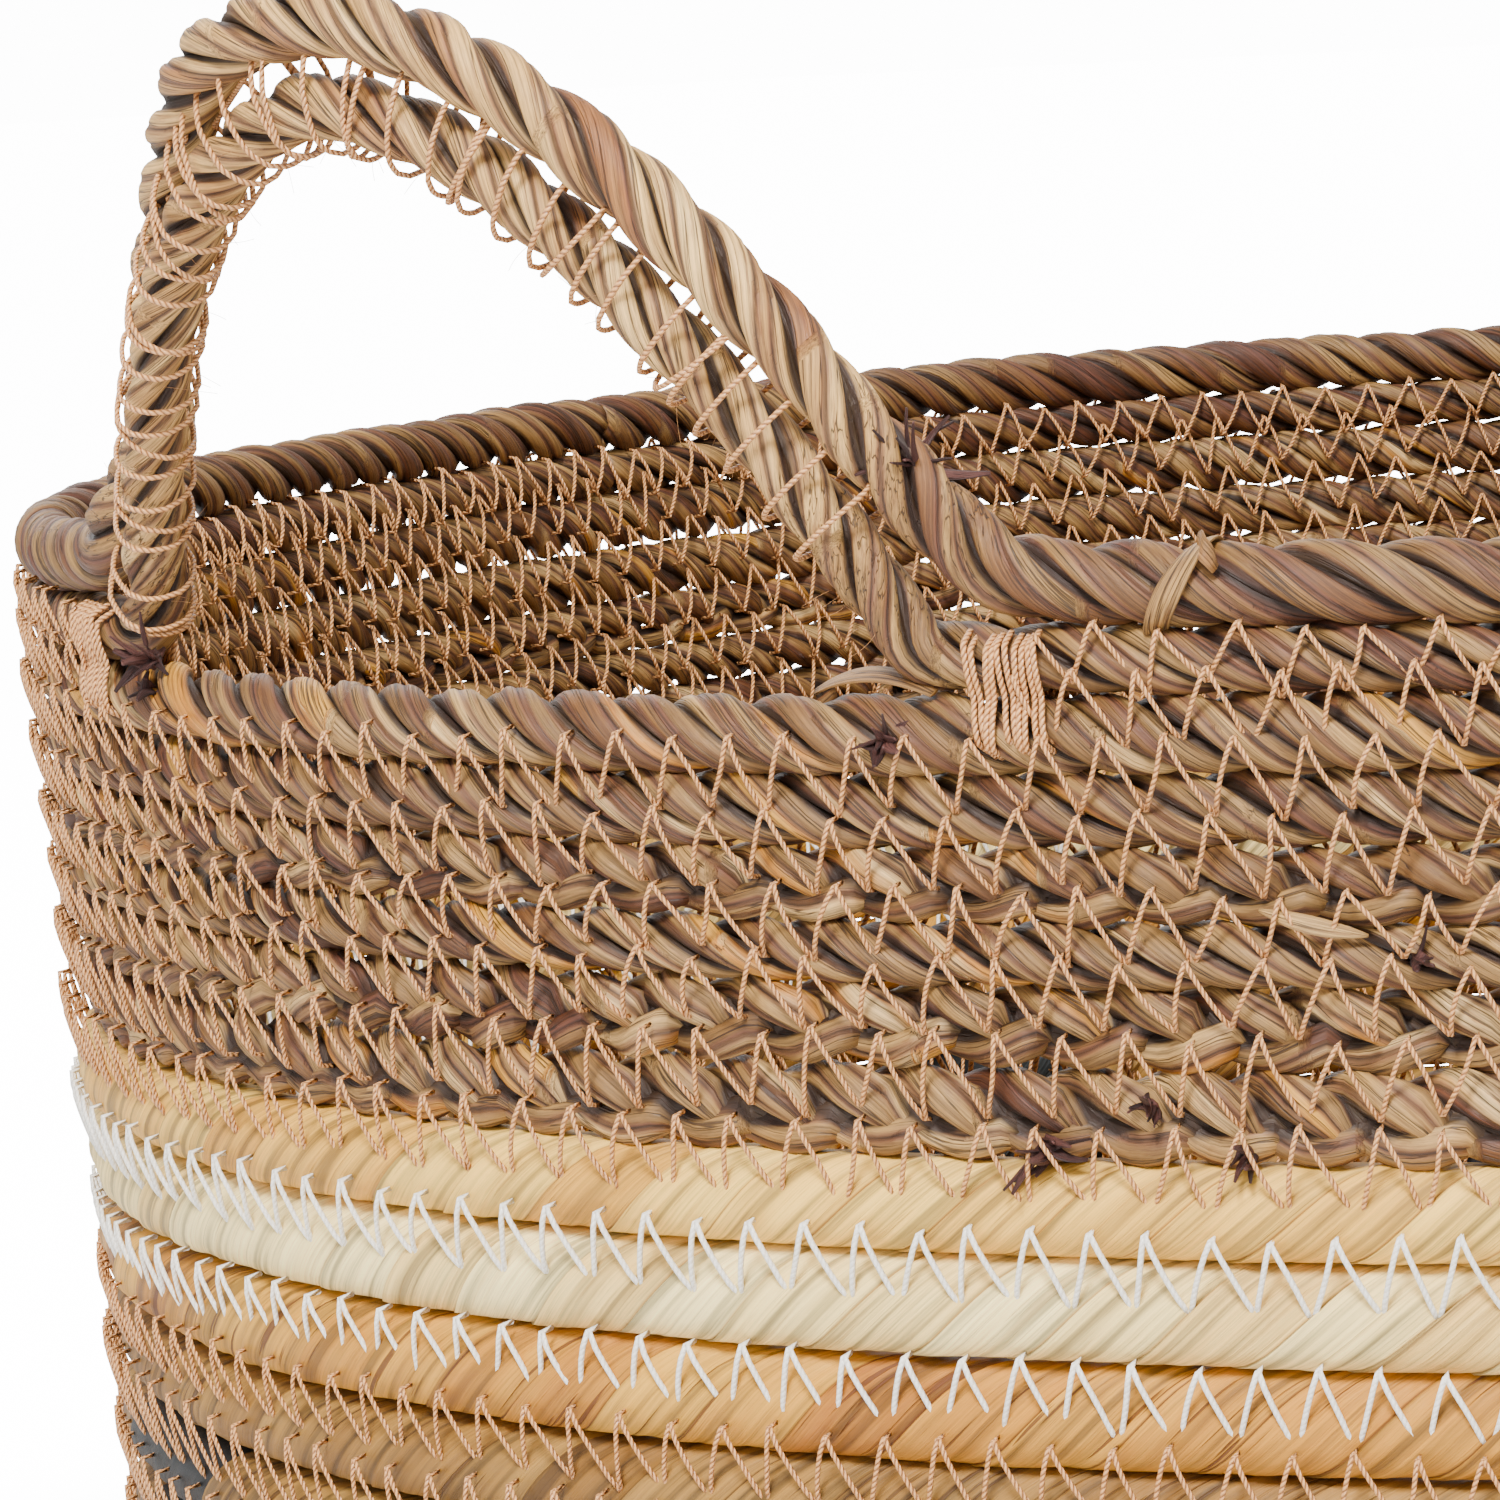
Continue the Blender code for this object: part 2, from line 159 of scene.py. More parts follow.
# ---------------------------------------------------------------- meshes from grids
class Build:
    """Collects grids of points into one mesh, with UVs in metres and turns, and point values."""

    def __init__(self):
        self.v, self.loops, self.totals, self.uv = [], [], [], []
        self.attrs = {}
        self.mats = []
        self.n = 0

    def grid(self, V, u, closed_u, attrs=None, mat=0, caps=True, vgrid=None):
        n, m, _ = V.shape
        base = self.n
        self.v.append(V.reshape(-1, 3))
        rows = n if closed_u else n - 1
        i = np.arange(rows)[:, None]
        j = np.arange(m)[None, :]
        i2, j2 = (i + 1) % n, (j + 1) % m
        q = np.stack([i * m + j, i2 * m + j, i2 * m + j2, i * m + j2], -1).reshape(-1, 4) + base
        ug = np.append(u, u[-1] + (u[-1] - u[-2])) if closed_u else u
        vg = np.arange(m + 1) / m if vgrid is None else vgrid
        uu = np.stack(np.broadcast_arrays(ug[i], ug[i + 1], ug[i + 1], ug[i] + 0 * j), -1).reshape(-1, 4)
        vv = np.stack(np.broadcast_arrays(vg[j], vg[j] + 0 * i, vg[j + 1], vg[j + 1]), -1).reshape(-1, 4)
        self.loops.append(q.reshape(-1))
        self.totals.append(np.full(len(q), 4, np.int32))
        self.uv.append(np.stack([uu.reshape(-1), vv.reshape(-1)], -1))
        self.mats.append(np.full(len(q), mat, np.int32))
        self.n += n * m
        count = n * m
        added = []
        if not closed_u and caps:
            for ring, turn in ((0, False), (n - 1, True)):
                c = V[ring].mean(0)
                self.v.append(c[None])
                jj = np.arange(m)
                a, b = base + ring * m + jj, base + ring * m + (jj + 1) % m
                tri = np.stack([np.full(m, self.n), a, b] if not turn else [np.full(m, self.n), b, a], -1)
                self.loops.append(tri.reshape(-1))
                self.totals.append(np.full(m, 3, np.int32))
                self.uv.append(np.tile([[u[ring], 0.5]], (m * 3, 1)))
                self.mats.append(np.full(m, mat, np.int32))
                self.n += 1
                count += 1
                added.append(ring)
        for name, values in (attrs or {}).items():
            values = np.broadcast_to(values, (n, m)).reshape(-1)
            tail = [np.array([np.broadcast_to(attrs[name], (n, m))[ring, 0]]) for ring in added]
            self.attrs.setdefault(name, []).append((base, np.concatenate([values] + tail)))
        return count

    def object(self, name, materials):
        mesh = bpy.data.meshes.new(name)
        V = np.concatenate(self.v).astype(np.float32)
        loops = np.concatenate(self.loops).astype(np.int32)
        totals = np.concatenate(self.totals).astype(np.int32)
        starts = np.concatenate([[0], np.cumsum(totals)[:-1]]).astype(np.int32)
        mesh.vertices.add(len(V))
        mesh.vertices.foreach_set("co", V.ravel())
        mesh.loops.add(len(loops))
        mesh.loops.foreach_set("vertex_index", loops)
        mesh.polygons.add(len(totals))
        mesh.polygons.foreach_set("loop_start", starts)
        mesh.polygons.foreach_set("loop_total", totals)
        for m in materials:
            mesh.materials.append(m)
        mesh.polygons.foreach_set("material_index", np.concatenate(self.mats))
        mesh.update(calc_edges=True)
        layer = mesh.uv_layers.new(name="UVMap")
        layer.data.foreach_set("uv", np.concatenate(self.uv).astype(np.float32).ravel())
        for key, values in self.attrs.items():
            a = mesh.attributes.new(key, "FLOAT", "POINT")
            whole = np.zeros(len(V), np.float32)
            for first, part in values:
                whole[first : first + len(part)] = part
            a.data.foreach_set("value", whole)
        mesh.shade_smooth()
        mesh.validate()
        obj = bpy.data.objects.new(name, mesh)
        bpy.context.scene.collection.objects.link(obj)
        return obj


# ---------------------------------------------------------------- materials
def new_material(name):
    m = bpy.data.materials.new(name)
    m.use_nodes = True
    nt = m.node_tree
    return m, nt, nt.nodes["Principled BSDF"]


def node(nt, kind, **sets):
    n = nt.nodes.new(kind)
    for k, v in sets.items():
        if hasattr(n, k):
            setattr(n, k, v)
    return n


def math_node(nt, op, a, b=None, c=None, clamp=False):
    n = nt.nodes.new("ShaderNodeMath")
    n.operation = op
    n.use_clamp = clamp
    for i, v in enumerate((a, b, c)):
        if v is None:
            continue
        if isinstance(v, (int, float)):
            n.inputs[i].default_value = v
        else:
            nt.links.new(v, n.inputs[i])
    return n.outputs[0]


def mix_colour(nt, fac, a, b, blend="MIX"):
    n = nt.nodes.new("ShaderNodeMix")
    n.data_type = "RGBA"
    n.blend_type = blend
    for socket, v in ((n.inputs[0], fac), (n.inputs[6], a), (n.inputs[7], b)):
        if isinstance(v, (int, float)):
            socket.default_value = v
        elif isinstance(v, tuple):
            socket.default_value = (*v, 1)
        else:
            nt.links.new(v, socket)
    return n.outputs[2]


def ramp(nt, fac, stops, interpolation="LINEAR"):
    n = nt.nodes.new("ShaderNodeValToRGB")
    n.color_ramp.interpolation = interpolation
    while len(n.color_ramp.elements) < len(stops):
        n.color_ramp.elements.new(0.5)
    for e, (pos, colour) in zip(n.color_ramp.elements, stops):
        e.position = pos
        e.color = (*colour, 1) if isinstance(colour, tuple) else (colour, colour, colour, 1)
    nt.links.new(fac, n.inputs[0])
    return n.outputs[0]


def attribute(nt, name):
    n = nt.nodes.new("ShaderNodeAttribute")
    n.attribute_name = name
    return n.outputs["Fac"]


def uv_noise(nt, u, v, su, sv, third=None, detail=3.0, rough=0.6):
    c = nt.nodes.new("ShaderNodeCombineXYZ")
    nt.links.new(math_node(nt, "MULTIPLY", u, su), c.inputs[0])
    nt.links.new(math_node(nt, "MULTIPLY", v, sv), c.inputs[1])
    if third is not None:
        nt.links.new(third, c.inputs[2])
    n = nt.nodes.new("ShaderNodeTexNoise")
    n.inputs["Scale"].default_value = 1.0
    n.inputs["Detail"].default_value = detail
    n.inputs["Roughness"].default_value = rough
    nt.links.new(c.outputs[0], n.inputs["Vector"])
    return n.outputs["Fac"]


def uv_axes(nt):
    uv = nt.nodes.new("ShaderNodeUVMap")
    uv.uv_map = "UVMap"
    s = nt.nodes.new("ShaderNodeSeparateXYZ")
    nt.links.new(uv.outputs[0], s.inputs[0])
    return s.outputs[0], s.outputs[1]


def leaf_material(name, stops, pale_stops, crack_and_shade_colour=(0.020, 0.0075, 0.003), around=16.0):
    """Dry leaf strips: fine lines along the leaf, dark cracks, blotches, pinkish rubbed edges, and painted shade in
    the grooves between leaves and where the surface sinks below the rope's outline.
    """
    m, nt, shader = new_material(name)
    u, v = uv_axes(nt)
    tint, edge_rub_and_shade, painted_shade_depth, pale = (attribute(nt, k) for k in ("tint", "edge_rub_and_shade", "painted_shade_depth", "pale"))
    shift = math_node(nt, "MULTIPLY", tint, 37.0)
    fibres = uv_noise(nt, u, v, 60.0, around * 2.2, shift, 5.0, 0.75)
    lines = uv_noise(nt, u, v, 26.0, around * 0.75, shift, 2.5, 0.5)
    blotch = uv_noise(nt, u, v, 150.0, around * 1.1, shift, 5.0, 0.7)
    slow = uv_noise(nt, u, v, 45.0, around * 0.2, shift, 2.0, 0.5)
    mixed = math_node(nt, "ADD", tint, math_node(nt, "MULTIPLY", math_node(nt, "SUBTRACT", slow, 0.5), 0.45), clamp=True)
    colour = mix_colour(nt, pale, ramp(nt, mixed, stops), ramp(nt, mixed, pale_stops))
    fine = ramp(nt, fibres, [(0.33, 0.42), (0.47, 0.95), (0.66, 1.45)])
    colour = mix_colour(nt, 1.0, colour, fine, "MULTIPLY")
    patch = ramp(nt, blotch, [(0.33, (0.56, 0.44, 0.36)), (0.48, (0.97, 0.95, 0.92)), (0.68, (1.30, 1.27, 1.18))])
    colour = mix_colour(nt, 1.0, colour, patch, "MULTIPLY")
    thin = ramp(nt, math_node(nt, "ABSOLUTE", math_node(nt, "SUBTRACT", lines, 0.47)), [(0.006, 1.0), (0.022, 0.0)])
    # painted shade: darker in the grooves between leaves and where the surface sinks below the rope's outline
    edge_shade = ramp(nt, edge_rub_and_shade, [(0.45, 0.0), (0.9, 0.85)])
    sunk_shade = ramp(nt, painted_shade_depth, [(0.36, 0.0), (0.85, 0.95)])
    rub = mix_colour(nt, ramp(nt, edge_rub_and_shade, [(0.05, 0.0), (0.5, 0.6)]), colour, (0.17, 0.055, 0.030))
    # the fine crack lines are real marks; the rest is painted shade, all mixed toward one dark colour
    dark = math_node(nt, "MAXIMUM", math_node(nt, "MULTIPLY", thin, 0.85), math_node(nt, "MAXIMUM", edge_shade, sunk_shade))
    colour = mix_colour(nt, dark, rub, crack_and_shade_colour)
    nt.links.new(colour, shader.inputs["Base Color"])
    nt.links.new(ramp(nt, fibres, [(0.3, 0.62), (0.7, 0.42)]), shader.inputs["Roughness"])
    shader.inputs["Specular IOR Level"].default_value = 0.45
    height = math_node(nt, "SUBTRACT", fibres, math_node(nt, "MULTIPLY", thin, 0.9))
    bump = nt.nodes.new("ShaderNodeBump")
    bump.inputs["Strength"].default_value = 0.7
    bump.inputs["Distance"].default_value = 0.0003
    nt.links.new(height, bump.inputs["Height"])
    nt.links.new(bump.outputs[0], shader.inputs["Normal"])
    return m


def husk_material(name, light, mid, dark, slit_and_shade_colour, slits=0.5, rough=0.55):
    """Wrapped husk strip. u runs across the strips and v along them, both in metres. The colour carries painted
    shade and light over the folds, and painted shade along each strip's last row, at the foot of the next strip's
    edge.
    """
    m, nt, shader = new_material(name)
    u, v = uv_axes(nt)
    tint, edge_rub_and_shade = (attribute(nt, k) for k in ("tint", "edge_rub_and_shade"))
    shift = math_node(nt, "MULTIPLY", tint, 41.0)
    fibres = uv_noise(nt, u, v, 2300.0, 60.0, shift, 4.0, 0.7)
    folds = uv_noise(nt, u, v, 420.0, 22.0, shift, 2.0, 0.5)
    creases = uv_noise(nt, u, v, 700.0, 45.0, shift, 2.0, 0.5)
    blotch = uv_noise(nt, u, v, 130.0, 60.0, shift, 4.0, 0.65)
    mixed = math_node(nt, "ADD", math_node(nt, "MULTIPLY", tint, 0.55), math_node(nt, "MULTIPLY", blotch, 0.5), clamp=True)
    colour = ramp(nt, mixed, [(0.22, dark), (0.48, mid), (0.74, light)])
    fine = ramp(nt, fibres, [(0.32, 0.66), (0.49, 1.0), (0.68, 1.16)])
    colour = mix_colour(nt, 1.0, colour, fine, "MULTIPLY")
    # painted shade and light over the folds
    shade = ramp(nt, folds, [(0.37, 0.46), (0.48, 0.95), (0.60, 1.16)])
    colour = mix_colour(nt, 1.0, colour, shade, "MULTIPLY")
    lines = ramp(nt, creases, [(0.33, slits), (0.36, 0.0)])
    # painted shade along each strip's last row
    edge_shade = ramp(nt, edge_rub_and_shade, [(0.35, 0.0), (1.0, 0.95)])
    slits_and_shade = math_node(nt, "MAXIMUM", lines, edge_shade)
    colour = mix_colour(nt, slits_and_shade, colour, slit_and_shade_colour)
    nt.links.new(colour, shader.inputs["Base Color"])
    shader.inputs["Roughness"].default_value = rough
    shader.inputs["Specular IOR Level"].default_value = 0.4
    height = math_node(nt, "ADD", math_node(nt, "MULTIPLY", fibres, 0.45), math_node(nt, "MULTIPLY", folds, 1.1))
    height = math_node(nt, "SUBTRACT", height, math_node(nt, "MULTIPLY", lines, 0.6))
    bump = nt.nodes.new("ShaderNodeBump")
    bump.inputs["Strength"].default_value = 0.8
    bump.inputs["Distance"].default_value = 0.0006
    nt.links.new(height, bump.inputs["Height"])
    nt.links.new(bump.outputs[0], shader.inputs["Normal"])
    return m


def thread_material(name, light, dark, twist=1.0):
    """Two-ply twisted thread: slanted bands round it, painted light on the crests of the plies and dark in the
    grooves between them. u in metres along it, v in turns.
    """
    m, nt, shader = new_material(name)
    u, v = uv_axes(nt)
    turn = math_node(nt, "ADD", math_node(nt, "MULTIPLY", u, math.pi / 0.00085), math_node(nt, "MULTIPLY", v, TAU))
    band = math_node(nt, "ABSOLUTE", math_node(nt, "SINE", turn))
    hair = uv_noise(nt, u, v, 3000.0, 9.0, None, 2.0, 0.6)
    # painted highlight on the crests of the plies and painted shade in the grooves between them
    colour = ramp(nt, band, [(0.10, dark), (0.75, light)])
    tone = ramp(nt, hair, [(0.3, 0.82), (0.7, 1.12)])
    colour = mix_colour(nt, 1.0, colour, tone, "MULTIPLY")
    nt.links.new(colour, shader.inputs["Base Color"])
    shader.inputs["Roughness"].default_value = 0.38
    shader.inputs["Specular IOR Level"].default_value = 0.6
    bump = nt.nodes.new("ShaderNodeBump")
    bump.inputs["Strength"].default_value = 0.8 * twist
    bump.inputs["Distance"].default_value = 0.0003
    nt.links.new(band, bump.inputs["Height"])
    nt.links.new(bump.outputs[0], shader.inputs["Normal"])
    return m


# leaf colours from dark to pale; the last stop is the odd golden leaf
WALL_STOPS = [
    (0.0, (0.066, 0.019, 0.005)),
    (0.15, (0.132, 0.051, 0.012)),
    (0.34, (0.194, 0.099, 0.027)),
    (0.52, (0.264, 0.145, 0.043)),
    (0.70, (0.370, 0.211, 0.066)),
    (0.86, (0.519, 0.334, 0.132)),
    (0.93, (0.396, 0.150, 0.011)),
    (1.0, (0.493, 0.238, 0.031)),
]
PALE_STOPS = [
    (0.0, (0.291, 0.109, 0.028)),
    (0.2, (0.466, 0.225, 0.063)),
    (0.45, (0.601, 0.342, 0.109)),
    (0.7, (0.718, 0.442, 0.157)),
    (1.0, (0.815, 0.542, 0.213)),
]
M_LEAF = leaf_material("seagrass_leaf", WALL_STOPS, PALE_STOPS)
M_CREAM = husk_material("husk_cream", (0.847, 0.530, 0.106), (0.753, 0.415, 0.066), (0.583, 0.271, 0.030), (0.320, 0.122, 0.013), 0.25)
M_WHITE = husk_material("husk_white", (0.930, 0.729, 0.307), (0.850, 0.618, 0.217), (0.700, 0.423, 0.108), (0.420, 0.213, 0.046), 0.25)
M_ORANGE = husk_material("husk_orange", (0.605, 0.304, 0.033), (0.504, 0.212, 0.016), (0.317, 0.103, 0.007), (0.101, 0.024, 0.002), 0.85)
M_TAN = husk_material("husk_tan", (0.354, 0.188, 0.037), (0.268, 0.127, 0.020), (0.172, 0.068, 0.010), (0.053, 0.018, 0.003), 0.7)
M_DARK = husk_material("husk_dark", (0.007, 0.011, 0.011), (0.003, 0.004, 0.005), (0.001, 0.002, 0.002), (0.014, 0.011, 0.006), 0.3)
# thread colours: the light one is the painted highlight on the ply crests, the dark one the painted shade between
# the plies
M_THREAD = thread_material("thread_tan", (0.776, 0.376, 0.136), (0.349, 0.124, 0.035))
M_WTHREAD = thread_material("thread_white", (0.90, 0.86, 0.78), (0.76, 0.69, 0.58), 0.3)
M_TUFT = husk_material("root_tuft", (0.115, 0.040, 0.030), (0.060, 0.018, 0.014), (0.026, 0.008, 0.006), (0.010, 0.004, 0.003), 0.5)


# ---------------------------------------------------------------- ropes
def rope(build, P, N, u, closed, half_out, half_up, pitch, rng, mat=0, sides=24, leaves=4,
         tint=(0.42, 0.2), gold=0.06, phase=None, plait=0.0, pale=0.0, lay=-1):
    """A rope of three leaf bundles along the line P, with outward normals N. It is laid
    as a twist, or the nearer plait is to 1 as a three-strand plait."""
    n = len(P)
    T = tangents(P, closed)
    N = unit(N - T * np.sum(N * T, 1, keepdims=True))
    U = cross(N, T)
    length = u[-1] + (u[1] - u[0] if closed else 0)
    turns = length / pitch
    if closed:
        turns = round(turns)
    phase = rng.uniform(0, TAU) if phase is None else phase
    wob = wander(n, int(length / 0.03), rng, closed, 0.45)
    alpha = np.arange(sides) / sides * TAU
    ho = np.broadcast_to(half_out, (n,))
    hu = np.broadcast_to(half_up, (n,))
    tint_mean = np.broadcast_to(tint[0], (n,))
    for k in range(3):
        theta = lay * TAU * turns * u / length + phase + TAU * k / 3 + wob
        c, s = np.cos(theta), np.sin(theta)
        # centre of the bundle, in halves of the rope's width and height
        co = (1 - plait) * 0.50 * c + plait * 0.44 * np.sin(2 * theta)
        cu = (1 - plait) * 0.50 * s + plait * 0.52 * np.sin(theta)
        centre = P + N * (ho * co)[:, None] + U * (hu * cu)[:, None]
        away = np.stack([co, cu], -1)
        away = unit((1 - plait) * np.stack([c, s], -1) + plait * unit(away + 1e-6))
        c2, s2 = away[:, 0], away[:, 1]
        e1 = N * (ho * c2)[:, None] + U * (hu * s2)[:, None]
        e2 = -N * (ho * s2)[:, None] + U * (hu * c2)[:, None]
        fat = 1 + wander(n, int(length / 0.011), rng, closed, 0.10)
        r1, r2 = 0.46 * fat, (0.56 - 0.08 * plait) * fat
        # leaves lie side by side in the bundle, with a groove between each two
        drift = wander(n, int(length / 0.025), rng, closed, 0.7)
        edges = np.sort((np.arange(leaves) + rng.uniform(-0.3, 0.3, leaves)) / leaves * TAU)
        a = (alpha[None] + drift[:, None]) % TAU
        which = (np.searchsorted(edges, a.ravel()) % leaves).reshape(a.shape)
        gaps = np.abs((a[..., None] - edges + math.pi) % TAU - math.pi).min(-1)
        groove = np.exp(-((gaps / 0.21) ** 2))
        lift = np.stack([wander(n, int(length / 0.014), rng, closed, 0.10) for _ in range(leaves)], 1)
        r = 1 - 0.13 * groove + np.take_along_axis(lift, which, 1)
        x = np.cos(alpha)[None] * r1[:, None] * r
        y = np.sin(alpha)[None] * r2[:, None] * r
        V = centre[:, None] + e1[:, None] * x[..., None] + e2[:, None] * y[..., None]
        # how far each point is sunk below the rope's outline; the leaf material paints shade by it
        ox = co[:, None] + c2[:, None] * x - s2[:, None] * y
        oy = cu[:, None] + s2[:, None] * x + c2[:, None] * y
        painted_shade_depth = np.clip((0.89 - 0.30 * plait - np.hypot(ox, oy)) / 0.24, 0, 1)
        pieces = max(2, int(length / 0.045))
        seg = (np.floor(u / length * pieces + rng.uniform(0, 1))[:, None] + which * 0.37).astype(int) % pieces
        tints = rng.normal(0, tint[1], (pieces, leaves))
        golden = rng.uniform(size=tints.shape) < gold
        value = np.clip(tint_mean[:, None] + tints[seg, which], 0.02, 0.89)
        value = np.where(golden[seg, which], 0.93 + 0.07 * np.abs(np.sin(seg * 3.7)), value)
        # the groove depth drives painted shade in the grooves between leaves, and the pinkish rubbed colour at leaf
        # edges
        build.grid(V, u, closed, {"tint": value, "edge_rub_and_shade": groove * 0.95, "painted_shade_depth": painted_shade_depth, "pale": np.broadcast_to(pale, (n,))[:, None]}, mat)


def coil(build, P, N, u, length, half_out, half_up, rng, mat=0, strip=14.0 * MM, sides=28, rows=14,
         starts=3, tint=(0.5, 0.24), step=0.55 * MM, mats=None, power=2.15, closed=True, fade=False):
    """A core wrapped on the slant with husk strips that overlap like tiles. The mesh
    follows the strips, so their edges are clean lines."""
    count = max(6, int(round(length / strip)))
    width = length / count
    share = np.concatenate([[0, 0.03], np.linspace(0.10, 0.93, rows - 3), [0.985]])
    n = count * rows
    row_u = (np.repeat(np.arange(count), rows) + np.tile(share, count)) * width
    strip_of = np.repeat(np.arange(count), rows)
    turn = np.arange(sides) / sides
    window = np.sin(math.pi * turn) ** 2
    lean_a = rng.uniform(-1.6, 1.6, count) * MM
    lean_b = rng.uniform(-1.0, 1.0, count) * MM
    near = np.interp(np.arange(n) / rows, np.arange(count + 1), np.append(lean_a, lean_a[0]))
    near2 = np.interp(np.arange(n) / rows, np.arange(count + 1), np.append(lean_b, lean_b[0]))
    pos = row_u[:, None] + starts * width * turn[None] + near[:, None] * window + near2[:, None] * window * np.sin(TAU * turn)
    if closed:
        pos = pos % length
        grid_u = np.append(u, length)
        wrap = lambda a: np.vstack([a, a[:1]])
    else:
        pos = np.clip(pos - starts * width / 2, 0, length)
        grid_u, wrap = u, lambda a: a
    T = tangents(P, closed)
    N = unit(N - T * np.sum(N * T, 1, keepdims=True))
    U = cross(N, T)

    def at(values):
        w = wrap(values)
        return np.stack([np.interp(pos, grid_u, w[:, c]) for c in range(3)], -1)

    C, Nn, Uu = at(P), unit(at(N)), unit(at(U))
    alpha = turn * TAU - math.pi / 2
    ca, sa = np.cos(alpha), np.sin(alpha)
    k = (np.abs(ca) ** power + np.abs(sa) ** power) ** (-1 / power)
    frac = np.tile(share, count)
    lift = rng.uniform(0.4, 1.7, count)[strip_of]
    # folds that run along the strip
    fold = np.zeros((n, sides))
    for f in range(3):
        place = rng.uniform(0.15, 0.85, count)[strip_of]
        size = rng.uniform(-0.50, 0.42, count)[strip_of]
        slide = rng.uniform(-0.25, 0.25, count)[strip_of]
        x = (frac[:, None] - place[:, None] - slide[:, None] * (turn - 0.5)) / 0.07
        fold += size[:, None] * np.exp(-x * x)
    d = step * ((1 - frac) ** 0.9 * lift)[:, None] + fold * MM - 0.25 * MM
    d = d + 0.10 * MM * wander(n, int(count * 5), rng, closed, 1.0)[:, None]
    x = half_out * k * ca + d * ca
    y = half_up * k * sa + 0.35 * d * sa
    if fade:
        e = np.clip(np.minimum(pos, length - pos) / (5 * MM), 0.15, 1) ** 0.6
        x, y = x * e, y * e
    V = C + Nn * x[..., None] + Uu * y[..., None]
    tone = np.clip(rng.normal(tint[0], tint[1], count), 0, 1)[strip_of]
    # the last row of each strip lies at the foot of the next strip's raised edge; the material paints shade along it
    edge_shade = np.where(np.tile(np.arange(rows), count) == rows - 1, 1.0, 0.0)
    base = build.n
    build.v.append(V.reshape(-1, 3))
    build.n += n * sides
    last = n if closed else n - 1
    i = np.arange(last)[:, None]
    j = np.arange(sides)[None]
    hop = (j == sides - 1) * starts * rows
    if closed:
        a, b_, c_, d_ = i + 0 * j, (i + 1) % n + 0 * j, (i + 1 + hop) % n, (i + hop) % n
    else:
        a, b_, c_, d_ = i + 0 * j, i + 1 + 0 * j, np.minimum(i + 1 + hop, n - 1), np.minimum(i + hop, n - 1)
    j2 = (j + 1) % sides
    quads = np.stack([a * sides + j, b_ * sides + j, c_ * sides + j2, d_ * sides + j2], -1).reshape(-1, 4) + base
    around = turn[1] * math.pi * (half_out + half_up) * 1.05
    ru = np.append(row_u, length)
    u0, u1 = ru[i], ru[i + 1] if closed else ru[np.minimum(i + 1, n - 1)]
    uu = np.stack(np.broadcast_arrays(u0 + 0 * j, u1 + 0 * j, u1 + 0 * j, u0 + 0 * j), -1).reshape(-1, 4)
    vv = np.stack(np.broadcast_arrays(j * around + 0 * i, j * around + 0 * i, (j + 1) * around + 0 * i, (j + 1) * around + 0 * i), -1).reshape(-1, 4)
    build.loops.append(quads.reshape(-1))
    build.totals.append(np.full(len(quads), 4, np.int32))
    build.uv.append(np.stack([uu.reshape(-1), vv.reshape(-1)], -1))
    chosen = np.full((last, sides), mat) if mats is None else np.broadcast_to(mats(strip_of[:last], count)[:, None], (last, sides))
    build.mats.append(chosen.reshape(-1).astype(np.int32))
    build.attrs.setdefault("tint", []).append((base, np.broadcast_to(tone[:, None], (n, sides)).reshape(-1)))
    build.attrs.setdefault("edge_rub_and_shade", []).append((base, np.broadcast_to(edge_shade[:, None], (n, sides)).reshape(-1)))


def tube(build, P, N, u, closed, radius, sides=6, mat=0, attrs=None):
    T = tangents(P, closed)
    N = unit(N - T * np.sum(N * T, 1, keepdims=True))
    U = cross(N, T)
    a = np.arange(sides) / sides * TAU
    r = np.broadcast_to(radius, (len(P),))[:, None]
    V = P[:, None] + N[:, None] * (np.cos(a) * r)[..., None] + U[:, None] * (np.sin(a) * r)[..., None]
    build.grid(V, u, closed, attrs, mat)


def ring_path(depth, step, rng, rough=0.45 * MM):
    phi = np.linspace(0, TAU, 2000, endpoint=False)
    p, u, length, _ = resample(wall(phi, depth), step, True)
    ang = np.unwrap(np.arctan2(p[:, 1], p[:, 0]))
    N = normal(ang)
    out = wander(len(p), 26, rng, True, rough)
    up = wander(len(p), 22, rng, True, rough * 0.7)
    return p + N * out[:, None] + np.array([0, 0, 1.0]) * up[:, None], N, u, length


SLOTS = {"leaf": "seagrass", "cream": "cream_husk", "white": "white_husk", "orange": "orange_husk", "tan": "tan_husk", "dark": "dark_husk"}


def nodes_like(prefix):
    return [n for n in nodes if n.startswith(prefix)]


# seagrass courses 3 to 8
LAYS = [(30, 0.0, -1), (33, 0.15, -1), (35, 0.7, -1), (31, 0.0, -1), (37, 0.8, -1), (34, 0.6, -1)]
TONES = [0.46, 0.44, 0.46, 0.47, 0.50, 0.52]
for i in range(2, 8):
    rng = np.random.default_rng(100 + i)
    P, N, u, length = ring_path(CENTRES[i], 1.6 * MM, rng)
    b = Build()
    pitch, plait, lay = LAYS[i - 2]
    rope(b, P, N, u, True, SEA_HALF * 0.98, HEIGHTS[i] / 2 * 1.12, pitch * MM, rng, tint=(TONES[i - 2], 0.26), gold=0.05, plait=plait, lay=lay)
    o = b.object(f"rope_course_{i + 1:02d}", [M_LEAF])
    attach(o, "basket")
    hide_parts(*nodes_like(f"course_{i + 1:02d}_"))

# husk coils 9 to 22
HUSKS = [M_CREAM, M_WHITE, M_ORANGE]
BAND = range(12, 17)


